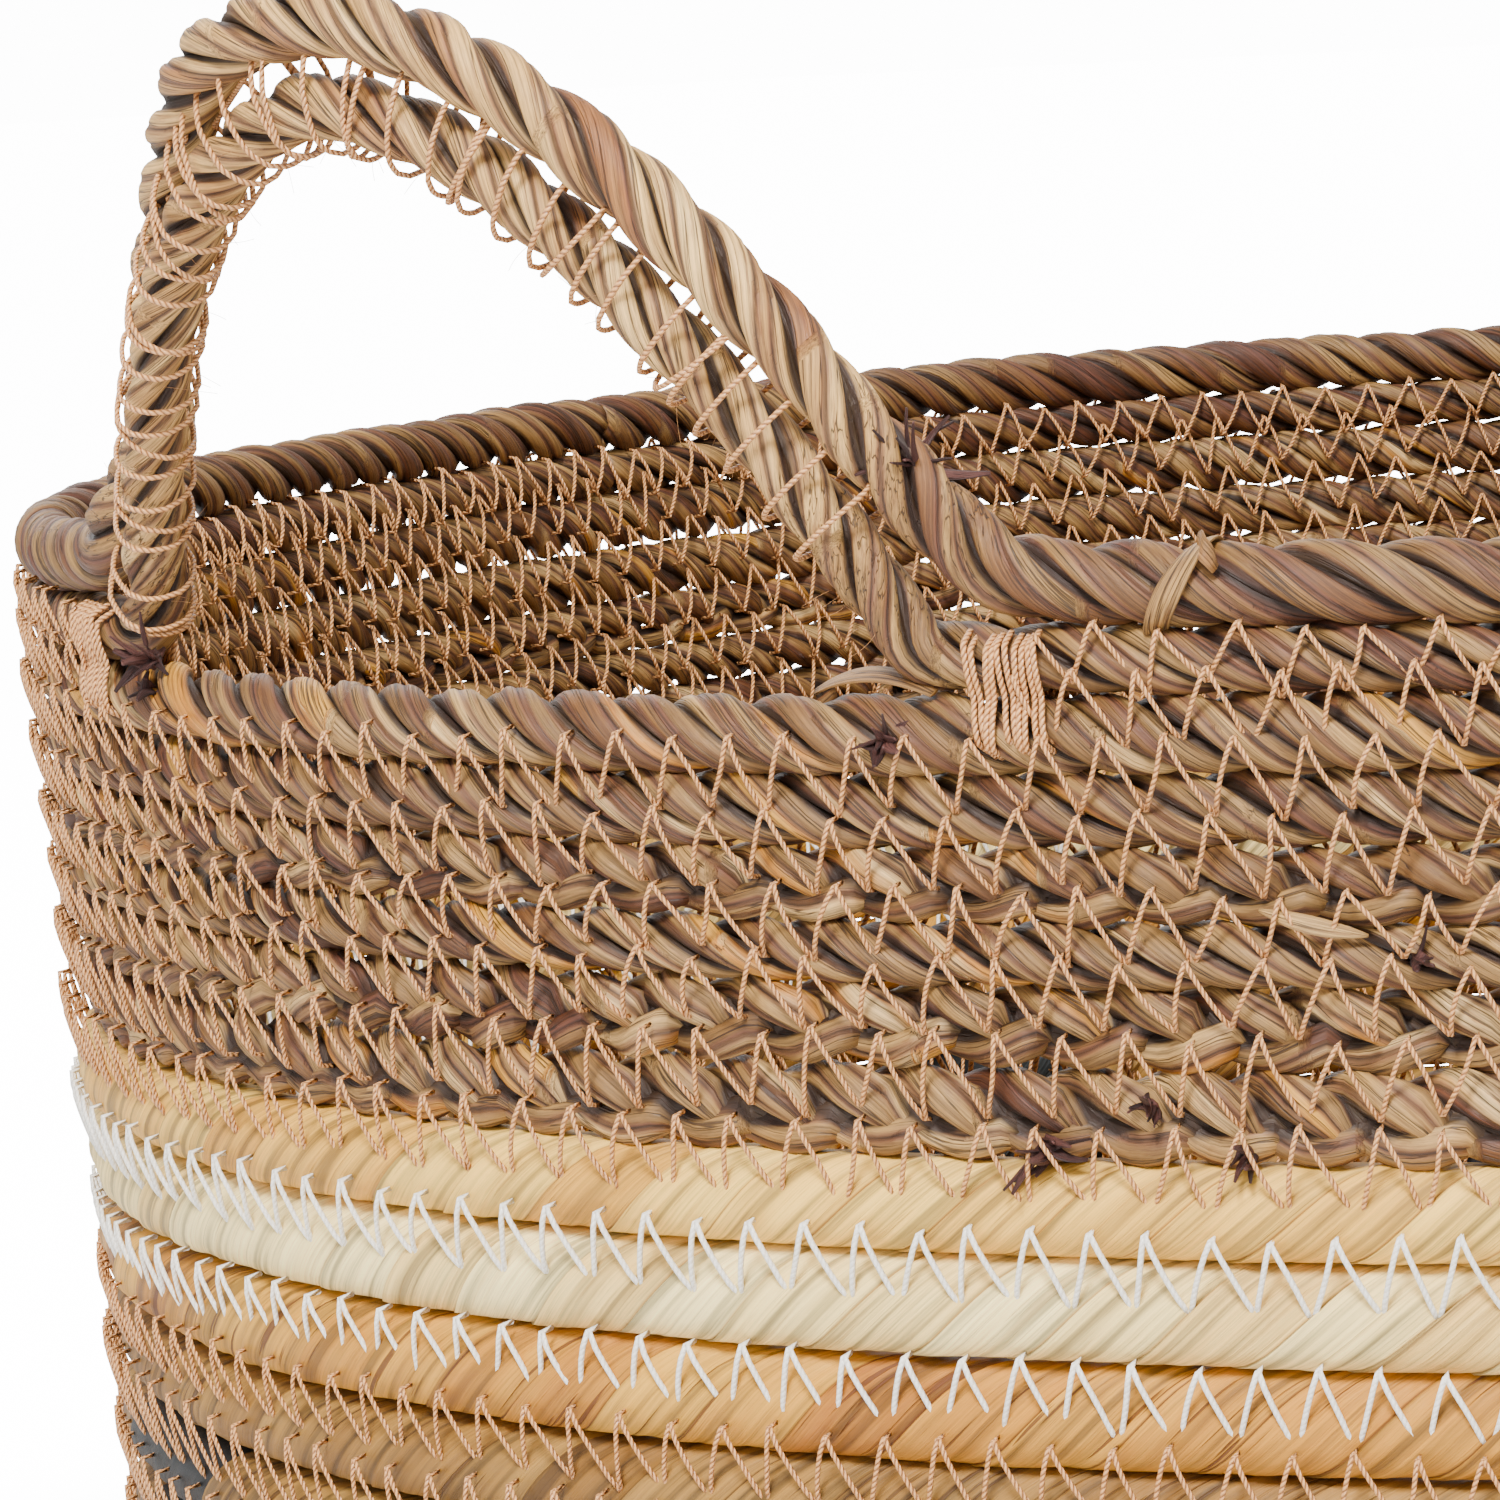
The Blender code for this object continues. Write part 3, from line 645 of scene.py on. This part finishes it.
def band_mats(row):
    """Dark strips in blocks that widen to the middle of the band and narrow again."""
    reach = (3.0, 4.0, 5.0, 4.0, 3.0)[row] / 16

    def choose(strips, count):
        x = strips / count * 12 + 0.42
        return np.where(np.abs(x - np.floor(x) - 0.5) < reach, 1, 0)

    return choose


for i in range(8, COURSES):
    rng = np.random.default_rng(200 + i)
    P, N, u, length = ring_path(CENTRES[i], 2.5 * MM, rng, 0.35 * MM)
    b = Build()
    rows = 14 if i < 12 else 10
    half_up = HEIGHTS[i] / 2 - 0.05 * MM
    if i < 11:
        mats, slot = [HUSKS[i - 8]], ("cream_husk", "white_husk", "orange_husk")[i - 8]
        coil(b, P, N, u, length, HUSK_HALF, half_up, rng, rows=rows)
    elif i in BAND:
        mats, slot = [M_TAN, M_DARK], "dark_husk"
        coil(b, P, N, u, length, HUSK_HALF, half_up, rng, rows=rows, mats=band_mats(i - 12))
    else:
        mats, slot = [M_TAN], "tan_husk"
        coil(b, P, N, u, length, HUSK_HALF, half_up, rng, rows=rows)
    o = b.object(f"coil_course_{i + 1:02d}", mats)
    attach(o, "basket")
    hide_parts(*nodes_like(f"course_{i + 1:02d}_"))

# ---------------------------------------------------------------- the two top courses and the handles
def top_path(course, middle, step):
    """From the far side of one handle, up over it and down, to the other far side."""
    phi = middle + np.linspace(-math.pi / 2, math.pi / 2, 3000)
    rim = wall(phi, 0.0)
    d = np.concatenate([[0], np.cumsum(np.linalg.norm(np.diff(rim, axis=0), axis=1))])
    s = d - np.interp(middle, phi, d)
    h = handle_low(s) if course else handle_up(s)
    twist = np.zeros_like(s)
    if course == 0:
        # on one leg the pair of ropes is twisted, so the upper one sits inward of the lower
        x = np.clip((-s - 12 * MM) / (36 * MM), 0, 1)
        y = np.clip((h - 16 * MM) / (16 * MM), 0, 1)
        twist = x * x * (3 - 2 * x) * y * y * (3 - 2 * y)
    place = np.interp(s + 2 * MM * twist, s, phi)
    N = normal(place)
    base = wall(place, TOPS[2])
    p = base + N * (lean(s, h) - 6.2 * MM * twist)[:, None]
    p[:, 2] = THIRD_Z + h
    out, u, length, more = resample(p, step, False, (phi, s, h))
    return out, normal(more[0]), u, length, more[1], more[2]


def smooth(x):
    x = np.clip(x, 0, 1)
    return x * x * (3 - 2 * x)


TOP_RUNS = {}
for hand, middle in (("left", math.pi), ("right", 0.0)):
    for course in (0, 1):
        rng = np.random.default_rng(300 + course + (10 if hand == "right" else 0))
        P, N, u, length, s, h = top_path(course, middle, 1.5 * MM)
        TOP_RUNS[hand, course] = (P, N, u, s, h)
        free = smooth((h - (LEVEL_1, LEVEL_2)[course]) / 0.025)
        b = Build()
        out_half = 4.65 * MM + free * (0.15, -0.25)[course] * MM
        up_half = HEIGHTS[course] / 2 * (1.15 - 0.08 * free) + free * (-0.05, 0.3)[course] * MM
        rope(b, P, N, u, False, out_half, up_half, (33, 34)[course] * MM, rng, sides=26, leaves=4,
             tint=(0.31 + 0.19 * free, 0.20), gold=0.0, phase=0.4 + course, pale=0.70 * free)
        name = ("upper", "lower")[course]
        o = b.object(f"handle_{hand}_{name}_rope_run", [M_LEAF])
        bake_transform(o)
        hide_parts(f"handle_{hand}_{name}_rope", f"course_{course + 1:02d}_seagrass_back", f"course_{course + 1:02d}_seagrass_front")


# ---------------------------------------------------------------- sewing
def along(path, u, values, closed, length):
    """Values of a line at other lengths along it."""
    if closed:
        path = path % length
        u, values = np.append(u, length), np.vstack([values, values[:1]])
    return np.stack([np.interp(path, u, values[:, c]) for c in range(values.shape[1])], -1)


def sew(build, mid, N, U, u, length, top, bottom, out, pitch, rng, closed=True, mat=0, radius=0.35 * MM,
        slide=0.57, dive=2.4 * MM, per=6, loose=1.0):
    """A zigzag stitch over a seam: each leg lies across both courses and goes down a hole."""
    count = int(length / pitch)
    k = np.arange(count)
    step = length / count
    amount = lambda size: rng.uniform(-size, size, count) * loose
    x_top = k * step + amount(0.9 * MM)
    x_bot = (k + slide) * step + amount(0.9 * MM)
    y_top = top + amount(0.9 * MM)
    y_bot = -bottom + amount(1.1 * MM)
    slack = rng.uniform(0.05, 0.45, count) * MM
    bow = amount(0.55 * MM)
    rows = []
    for leg in range(2):
        xa, ya = (x_top, y_top) if leg == 0 else (x_bot, y_bot)
        xb, yb = (x_bot, y_bot) if leg == 0 else (np.roll(x_top, -1) + np.where(k == count - 1, length, 0), np.roll(y_top, -1))
        for j in range(per + 1):
            w = j / (per + 1)
            if j == 0:
                rows.append(np.stack([xa, ya, out - dive + 0 * xa], -1))
                continue
            # the thread comes up close to its hole, then runs nearly straight
            w = (j - 1) / (per - 1)
            f = 0.03 + 0.94 * w
            lift = math.sin(math.pi * w)
            rows.append(np.stack([xa + (xb - xa) * f + bow * lift, ya + (yb - ya) * f, out - (0.35 * MM if j in (1, per) else 0) + slack * lift], -1))
    pts = np.stack(rows, 1).reshape(-1, 3)
    if not closed:
        pts = pts[(pts[:, 0] > 0.5 * MM) & (pts[:, 0] < length - 0.5 * MM)]
    C = along(pts[:, 0], u, mid, closed, length)
    Nn = unit(along(pts[:, 0], u, N, closed, length))
    Uu = unit(along(pts[:, 0], u, U, closed, length))
    P = C + Nn * pts[:, 2:3] + Uu * pts[:, 1:2]
    d = np.concatenate([[0], np.cumsum(np.linalg.norm(np.diff(P, axis=0), axis=1))])
    tube(build, P, Nn, d, closed, radius, 6, mat)


def azimuth(middle, s):
    phi = middle + np.linspace(-1.2, 1.2, 1501)
    rim = wall(phi, 0.0)
    d = np.concatenate([[0], np.cumsum(np.linalg.norm(np.diff(rim, axis=0), axis=1))])
    return np.interp(s, d - np.interp(middle, phi, d), phi)


# tops and bottoms of the stitches, where a seam differs from the common ones
SPECIAL = {0: (0.7, 7.4), 1: (3.4, 5.6), 8: (3.9, 6.2), 9: (0.9, 9.4), 7: (5.2, 6.6), 10: (4.2, 6.4)}


def seam_line(i, phi, closed):
    P, u, length, more = resample(wall(phi, TOPS[i + 1]), 3 * MM, closed)
    N = normal(np.unwrap(np.arctan2(P[:, 1], P[:, 0])))
    U = np.tile([0, 0, 1.0], (len(P), 1)) + N * TAPER
    return P, N, unit(U), u, length


def stitch(i, phi, closed, name, replaced, seed):
    rng = np.random.default_rng(seed)
    P, N, U, u, length = seam_line(i, phi, closed)
    below = HEIGHTS[i + 1] if i + 1 < COURSES else BASE_T
    half = SEA_HALF if i < 7 else HUSK_HALF + (0.30 if i == 7 else 0.62) * MM
    top, bottom = HEIGHTS[i] * 0.50, below * (0.56 if i + 1 < COURSES else 0.25)
    if i in SPECIAL:
        top, bottom = SPECIAL[i][0] * MM, SPECIAL[i][1] * MM
    white = i in (8, 9)
    b = Build()
    pitch = 7.9 * MM if i < 8 else 7.3 * MM
    loose = 1.0 if i < 8 else 0.6
    wide = 0.36 * MM if white else 0.31 * MM
    sew(b, P, N, U, u, length, top, bottom, half + 0.42 * MM, pitch, rng, closed, radius=wide, loose=loose)
    flat = unit(np.tile([0, 0, 1.0], (len(P), 1)) + N * TAPER)
    sew(b, P, -N, flat, u, length, top, bottom, half + 0.35 * MM, pitch, rng, closed, radius=wide, per=4)
    o = b.object(name, [M_WTHREAD if white else M_THREAD])
    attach(o, "basket")
    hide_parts(replaced)


ring = np.linspace(0, TAU, 1500, endpoint=False)
for i in range(2, COURSES):
    last = i == COURSES - 1
    stitch(i, ring, True, f"zigzag_{i + 1:02d}", f"thread_{i + 1:02d}_base" if last else f"thread_{i + 1:02d}_{i + 2:02d}", 500 + i)
for i in (0, 1):
    reach = 84 * MM if i == 0 else 81 * MM
    for side, first, second in (("front", azimuth(math.pi, reach), azimuth(TAU, -reach)), ("back", azimuth(0.0, reach), azimuth(math.pi, -reach))):
        stitch(i, np.linspace(first, second, 900), False, f"zigzag_{i + 1:02d}_{side}", f"thread_{i + 1:02d}_{i + 2:02d}_{side}", 540 + i + (side == "back") * 7)

# the thread that holds the two ropes of each handle together
for hand in ("left", "right"):
    rng = np.random.default_rng(600 + (hand == "right"))
    P, N, u, s, h = TOP_RUNS[hand, 1]
    upper = TOP_RUNS[hand, 0][0]
    keep = np.abs(s) < 67 * MM
    P, N, u = P[keep], N[keep], u[keep] - u[keep][0]
    length = u[-1]
    T = tangents(P, False)
    gap = ((P[:, None] - upper[None]) ** 2).sum(-1).argmin(1)
    U = upper[gap] - P
    U = unit(U - T * np.sum(U * T, 1, keepdims=True))
    for _ in range(3):
        U[1:-1] = (U[:-2] + U[1:-1] + U[2:]) / 3
    U = unit(U)
    N = unit(cross(T, U))
    b = Build()
    # places round the lower rope: outward, and toward the upper rope
    loop = np.array([(2.2, 8.4), (3.6, 6.3), (4.75, 3.6), (5.0, 0.6), (4.7, -2.4), (3.2, -4.6), (0.9, -5.6), (-1.8, -5.3), (-3.9, -3.5), (-5.0, -0.4), (-4.75, 3.2), (-3.6, 6.3), (-2.2, 8.4)]) * MM
    for thread, (pitch, hand_way, start) in enumerate(((5.9, 1, 0.0), (15.5, -1, 2.0))):
        pitch *= MM
        count = int((length - start * MM) / pitch) - 1
        k = np.arange(count)
        base = start * MM + k * pitch + rng.uniform(-0.22, 0.22, count) * pitch
        slant = rng.uniform(0.25, 0.62, count) * pitch * hand_way
        pts = []
        for q, (n_off, u_off) in enumerate(loop):
            share = q / (len(loop) - 1)
            x = base + slant * (math.sin(math.pi * (share - 0.5)) * 0.5 + 0.5) + pitch * 0.1 * share
            wobble = rng.uniform(-0.12, 0.12, count) * MM
            pts.append(np.stack([x, n_off + wobble, u_off + wobble], -1))
        pts = np.stack(pts, 1).reshape(-1, 3)
        pts[:, 0] = np.clip(pts[:, 0], 0, length)
        C, Nn, Uu = along(pts[:, 0], u, P, False, length), unit(along(pts[:, 0], u, N, False, length)), unit(along(pts[:, 0], u, U, False, length))
        L = C + Nn * pts[:, 1:2] + Uu * pts[:, 2:3]
        L, uu, _, _ = resample(L, 1.1 * MM)
        tube(b, L, np.tile([0.3, 0.2, 1.0], (len(L), 1)), uu, False, 0.36 * MM, 6)
    # stray fibres rubbed loose from the thread
    for _ in range(70):
        x = rng.uniform(0, length)
        C, Nn, Uu = (along(np.array([x]), u, a, False, length)[0] for a in (P, N, U))
        way = rng.uniform(0, TAU)
        side = Nn * math.cos(way) - Uu * abs(math.sin(way))
        d1 = unit(side + rng.normal(0, 0.7, 3))
        d2 = rng.normal(0, 1, 3)
        tt = np.linspace(0, 1, 6)[:, None]
        hair = C + side * 4.4 * MM + (d1 * tt * rng.uniform(2, 5) + d2 * tt * tt * rng.uniform(0.5, 1.6)) * MM
        tube(b, hair, np.tile([0.2, 0.1, 1.0], (6, 1)), tt[:, 0] * 0.004, False, 0.035 * MM, 3)
    o = b.object(f"handle_{hand}_sewing", [M_THREAD])
    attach(o, f"handle_{hand}")
    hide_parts(f"handle_{hand}_thread")

# close-set threads that lash each foot of a handle to the third course
for hand, middle in (("left", math.pi), ("right", 0.0)):
    for end, sign in (("a", -1), ("b", 1)):
        rng = np.random.default_rng(620 + sign + (hand == "right") * 10)
        b = Build()
        for k in range(10):
            s0 = sign * 80.5 * MM + (k - 4.5) * 0.98 * MM + rng.uniform(-0.25, 0.25) * MM
            tip = rng.uniform(-0.9, 0.9) * MM
            depth = np.linspace(9.0 * MM + abs(tip), 23.2 * MM - tip, 13)
            f = np.linspace(0, 1, 13)
            sway = s0 + (f - 0.5) * rng.uniform(-1.6, 1.2) * MM
            phi = azimuth(middle, sway)
            for face in (1, -1):
                out = 4.8 * MM + 0.45 * MM - 0.9 * MM * np.exp(-(((depth - TOPS[2]) / (1.6 * MM)) ** 2)) + rng.uniform(0, 0.35) * MM
                out = out - 2.8 * MM * (np.clip(0.09 - f, 0, 1) + np.clip(f - 0.91, 0, 1)) / 0.09
                L = np.array([wall(np.array([ph]), d, np.array([face * o]))[0] for ph, d, o in zip(phi, depth, out)])
                L, uu, _, _ = resample(L, 1.0 * MM)
                tube(b, L, face * normal(np.interp(np.linspace(0, 1, len(L)), f, phi)), uu, False, 0.38 * MM, 6)
        o = b.object(f"handle_{hand}_lashing_threads_{end}", [M_THREAD])
        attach(o, "basket")
        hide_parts(f"handle_{hand}_lashing_{end}")


def ribbon(build, L, side, width, thick, tint, mat=0, taper=0.0):
    """A flat leaf strip along L, its width along side."""
    n = len(L)
    T = tangents(L, False)
    S = unit(side - T * np.sum(side * T, 1, keepdims=True))
    F = cross(T, S)
    a = np.arange(12) / 12 * TAU
    ca, sa = np.sign(np.cos(a)) * np.abs(np.cos(a)) ** 0.6, np.sign(np.sin(a)) * np.abs(np.sin(a)) ** 0.7
    f = np.linspace(0, 1, n)
    w = width / 2 * (1 - taper * (2 * np.abs(f - 0.5)) ** 2)
    ridge = thick * (0.5 + 0.35 * np.cos(a * 2) ** 2)
    V = L[:, None] + S[:, None] * (w[:, None] * ca)[..., None] + F[:, None] * (ridge * sa)[None, :, None]
    d = np.concatenate([[0], np.cumsum(np.linalg.norm(np.diff(L, axis=0), axis=1))])
    build.grid(V, d, False, {"tint": tint, "edge_rub_and_shade": 0.0, "painted_shade_depth": 0.0, "pale": 0.35}, mat)


def on_wall(azimuth_deg, depth_mm, out_mm):
    return wall(np.array([math.radians(azimuth_deg)]), depth_mm * MM, np.array([out_mm * MM]))[0]


# the leaf strip folded over the rim rope beside the left handle
b = Build()
turn = np.linspace(-0.42 * math.pi, 1.25 * math.pi, 26)
centre_az, rope_r = 204.0, 5.15
L = np.array([on_wall(centre_az + 0.75 * math.sin(a) + 0.1, HEIGHTS[0] / 2 / MM - (rope_r + 0.15) * math.sin(a), rope_r * math.cos(a)) for a in turn])
side = np.tile(wall(np.array([math.radians(centre_az + 1)]), 0.0)[0] - wall(np.array([math.radians(centre_az)]), 0.0)[0], (len(L), 1))
ribbon(b, L, side + np.array([0, 0, 0.0015]), 3.1 * MM, 0.42 * MM, 0.35)
L2 = np.array([on_wall(centre_az + 1.0 + 0.4 * x, -0.9 + 2.0 * x * x + 1.6 * x, 3.4 + 1.3 * math.sin(3 * x)) for x in np.linspace(-0.5, 0.9, 9)])
ribbon(b, L2, np.tile([0.2, 0.1, 1.0], (9, 1)), 2.6 * MM, 0.36 * MM, 0.22, taper=0.4)
o = b.object("rim_leaf_fold", [M_LEAF])
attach(o, "basket")
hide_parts("rim_leaf_wrap")


# loose leaf ends and dark root ends that stand out of the ropes
def tuft(build, place, way, rng, count, reach, mat=0):
    for _ in range(count):
        d1 = unit(way + rng.normal(0, 0.75, 3))
        d2 = rng.normal(0, 1, 3)
        tt = np.linspace(0, 1, 6)
        long = rng.uniform(0.5, 1.0) * reach
        L = place - way * 1.2 * MM + rng.normal(0, 0.5, 3) * MM + d1 * (tt * long)[:, None] + d2 * (tt * tt * long * 0.22)[:, None]
        S = unit(rng.normal(0, 1, (1, 3)).repeat(6, 0))
        w = rng.uniform(0.5, 1.15) * MM * (1 - 0.72 * tt**1.5)
        T = tangents(L, False)
        S = unit(S - T * np.sum(S * T, 1, keepdims=True))
        F = cross(T, S)
        a = np.arange(6) / 6 * TAU
        V = L[:, None] + S[:, None] * (w[:, None] * np.cos(a))[..., None] + F[:, None] * ((0.32 * MM * (1 - 0.6 * tt))[:, None] * np.sin(a))[..., None]
        build.grid(V, tt * long, False, {"tint": rng.uniform(0, 1), "edge_rub_and_shade": 0.0}, mat)


rng = np.random.default_rng(700)
b = Build()
spots = [(195.2, 21.5, 5.0, 4.5, 12), (165.3, 15.0, 4.5, 5.5, 14), (199.1, 70.5, 4.8, 6.5, 12), (202.4, 65.0, 4.8, 4.5, 9), (210.4, 47.0, 4.9, 4.0, 8),
         (205.2, 70.8, 4.8, 4.5, 8), (164.9, 19.0, 4.6, 4.0, 9)]
for _ in range(26):
    az = rng.uniform(215, 510)
    spots.append((az % 360, rng.uniform(19, 70), 4.7, rng.uniform(2.5, 4.5), int(rng.integers(5, 9))))
for az, depth, out, reach, count in spots:
    n = normal(np.array([math.radians(az)]))[0]
    down = -0.5 if depth > 60 else 0.2
    tuft(b, on_wall(az, depth, out), unit(n + np.array([0, 0, down])), rng, count, reach * MM)
o = b.object("root_ends", [M_TUFT])
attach(o, "basket")
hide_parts("course_03_seagrass")

for hand in ("left", "right"):
    P, N, u, s, h = TOP_RUNS[hand, 0]
    b = Build()
    for place, reach, count in ((70.5 * MM, 8.5 * MM, 16),):
        k = int(np.abs(s - place).argmin())
        way = unit(N[k] * 0.25 + np.array([0, 0, 1.0]))
        tuft(b, P[k] + way * 4.9 * MM, way, rng, count, reach)
    o = b.object(f"handle_{hand}_root_end", [M_TUFT])
    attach(o, f"handle_{hand}")
    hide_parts(f"handle_{hand}_upper_rope")

# a leaf that has sprung off the third course inside the left loop
b = Build()
x = np.linspace(-1, 1, 17)
L = np.array([on_wall(194.6 + 2.0 * k, 16.4 - 2.1 * (1 - k * k), 0.4 + 1.2 * k) for k in x])
ribbon(b, L, np.tile(normal(np.array([math.radians(194.6)]))[0] + np.array([0, 0, -0.5]), (17, 1)), 3.4 * MM, 0.4 * MM, 0.3, taper=0.45)
L = np.array([on_wall(207.5 + 1.5 * k, 43.0 + 1.5 * k, 4.2 + 1.5 * (1 - k * k)) for k in x])
ribbon(b, L, np.tile([0, 0, 1.0], (17, 1)), 2.2 * MM, 0.3 * MM, 0.6, taper=0.8)
o = b.object("sprung_leaves", [M_LEAF])
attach(o, "basket")
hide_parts("course_03_seagrass")

# ---------------------------------------------------------------- the base
BASE_PITCH, BASE_INSET, BASE_CENTRE = 12.6 * MM, 2.4 * MM, 5.0 * MM
edge_r = RIM_RADIUS * (1 - TAPER * WALL) - TUCK + 5.4 * MM - BASE_PITCH / 2 - BASE_INSET
turns = int((edge_r - BASE_CENTRE) / BASE_PITCH)
start_r = edge_r - turns * BASE_PITCH
ang = np.linspace(0, TAU * turns, turns * 220)


def base_point(ang, extra, z):
    r = start_r + BASE_PITCH * ang / TAU
    share = r / edge_r
    r = (r + extra) * (1 - share + share * plan(ang) / RIM_RADIUS)
    return np.stack([r * np.cos(ang), r * np.sin(ang), np.full_like(ang, z)], -1)


rng = np.random.default_rng(800)
b = Build()
P, u, length, _ = resample(base_point(ang, 0, BASE_T / 2 + 0.12 * MM), 2.5 * MM)
flatten = lambda v: unit(v * np.array([1, 1, 0]))
N = unit(cross(tangents(P, False), np.tile([0, 0, 1.0], (len(P), 1))))
coil(b, P, N, u, length, BASE_PITCH / 2 - 0.1 * MM, 4.35 * MM, rng, rows=9, sides=20, closed=False, fade=True, step=0.3 * MM)
M2, u2, length2, _ = resample(base_point(ang[: -220], BASE_PITCH / 2, BASE_T / 2), 3 * MM)
U2 = unit(cross(tangents(M2, False), np.tile([0, 0, 1.0], (len(M2), 1))))
Z = np.tile([0, 0, 1.0], (len(M2), 1))
sew(b, M2, Z, U2, u2, length2, 4.6 * MM, 4.8 * MM, 4.3 * MM, 8.2 * MM, rng, closed=False, mat=1, per=3)
sew(b, M2, -Z, U2, u2, length2, 4.6 * MM, 4.8 * MM, 3.9 * MM, 8.2 * MM, rng, closed=False, mat=1, per=3)
o = b.object("base_spiral", [M_TAN, M_THREAD])
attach(o, "basket")
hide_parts("base_coil")

# ---------------------------------------------------------------- camera, light, floor
camera = bpy.data.objects.new("camera", bpy.data.cameras.new("camera"))
bpy.context.scene.collection.objects.link(camera)
forward = Vector((0.699376, 0.706901, -0.105656)).normalized()
right = Vector((0.705932, -0.706309, -0.052801)).normalized()
up = right.cross(forward).normalized()
right = forward.cross(up).normalized()
camera.matrix_world = Matrix.Translation((-0.79476, -0.60885, 0.31401)) @ Matrix((right, up, -forward)).transposed().to_4x4()
camera.data.lens = 162.55
camera.data.sensor_width = 36.0
camera.data.clip_start = 0.01
camera.data.clip_end = 100
bpy.context.scene.camera = camera

floor_mat, nt, shader = new_material("floor_pale")
shader.inputs["Base Color"].default_value = (0.93, 0.93, 0.93, 1)
shader.inputs["Roughness"].default_value = 0.9
# a sweep that burns out to white away from the basket, as a lit studio floor does
geometry = nt.nodes.new("ShaderNodeNewGeometry")
reach = nt.nodes.new("ShaderNodeVectorMath")
reach.operation = "LENGTH"
nt.links.new(geometry.outputs["Position"], reach.inputs[0])
span = nt.nodes.new("ShaderNodeMapRange")
span.interpolation_type = "SMOOTHSTEP"
span.inputs["From Min"].default_value = 0.30
span.inputs["From Max"].default_value = 0.62
span.inputs["To Max"].default_value = 14.0
nt.links.new(reach.outputs["Value"], span.inputs["Value"])
seen = nt.nodes.new("ShaderNodeLightPath")
glow = math_node(nt, "MULTIPLY", span.outputs[0], seen.outputs["Is Camera Ray"])
shader.inputs["Emission Color"].default_value = (1, 1, 1, 1)
nt.links.new(glow, shader.inputs["Emission Strength"])
bpy.ops.mesh.primitive_plane_add(size=60, location=(0, 0, -0.0002))
floor = bpy.context.object
floor.name = "floor"
floor.data.materials.append(floor_mat)

world = bpy.data.worlds.new("world") if not bpy.context.scene.world else bpy.context.scene.world
bpy.context.scene.world = world
world.use_nodes = True
wn = world.node_tree
background = wn.nodes["Background"]
background.inputs[0].default_value = (1, 1, 1, 1)
background.inputs[1].default_value = 0.8
bright = wn.nodes.new("ShaderNodeBackground")
bright.inputs[0].default_value = (1, 1, 1, 1)
bright.inputs[1].default_value = 14.0
path = wn.nodes.new("ShaderNodeLightPath")
pick = wn.nodes.new("ShaderNodeMixShader")
wn.links.new(path.outputs["Is Camera Ray"], pick.inputs[0])
wn.links.new(background.outputs[0], pick.inputs[1])
wn.links.new(bright.outputs[0], pick.inputs[2])
wn.links.new(pick.outputs[0], wn.nodes["World Output"].inputs[0])


def area(name, place, size, power):
    data = bpy.data.lights.new(name, "AREA")
    data.energy = power
    data.size = size
    o = bpy.data.objects.new(name, data)
    bpy.context.scene.collection.objects.link(o)
    o.location = place
    o.rotation_euler = (Vector((0, 0, 0.15)) - Vector(place)).to_track_quat("-Z", "Y").to_euler()


area("key", (-1.3, -0.7, 1.7), 0.5, 92)
area("fill", (0.6, -2.0, 1.0), 1.4, 14)
area("back", (0.8, 1.6, 1.5), 1.4, 26)
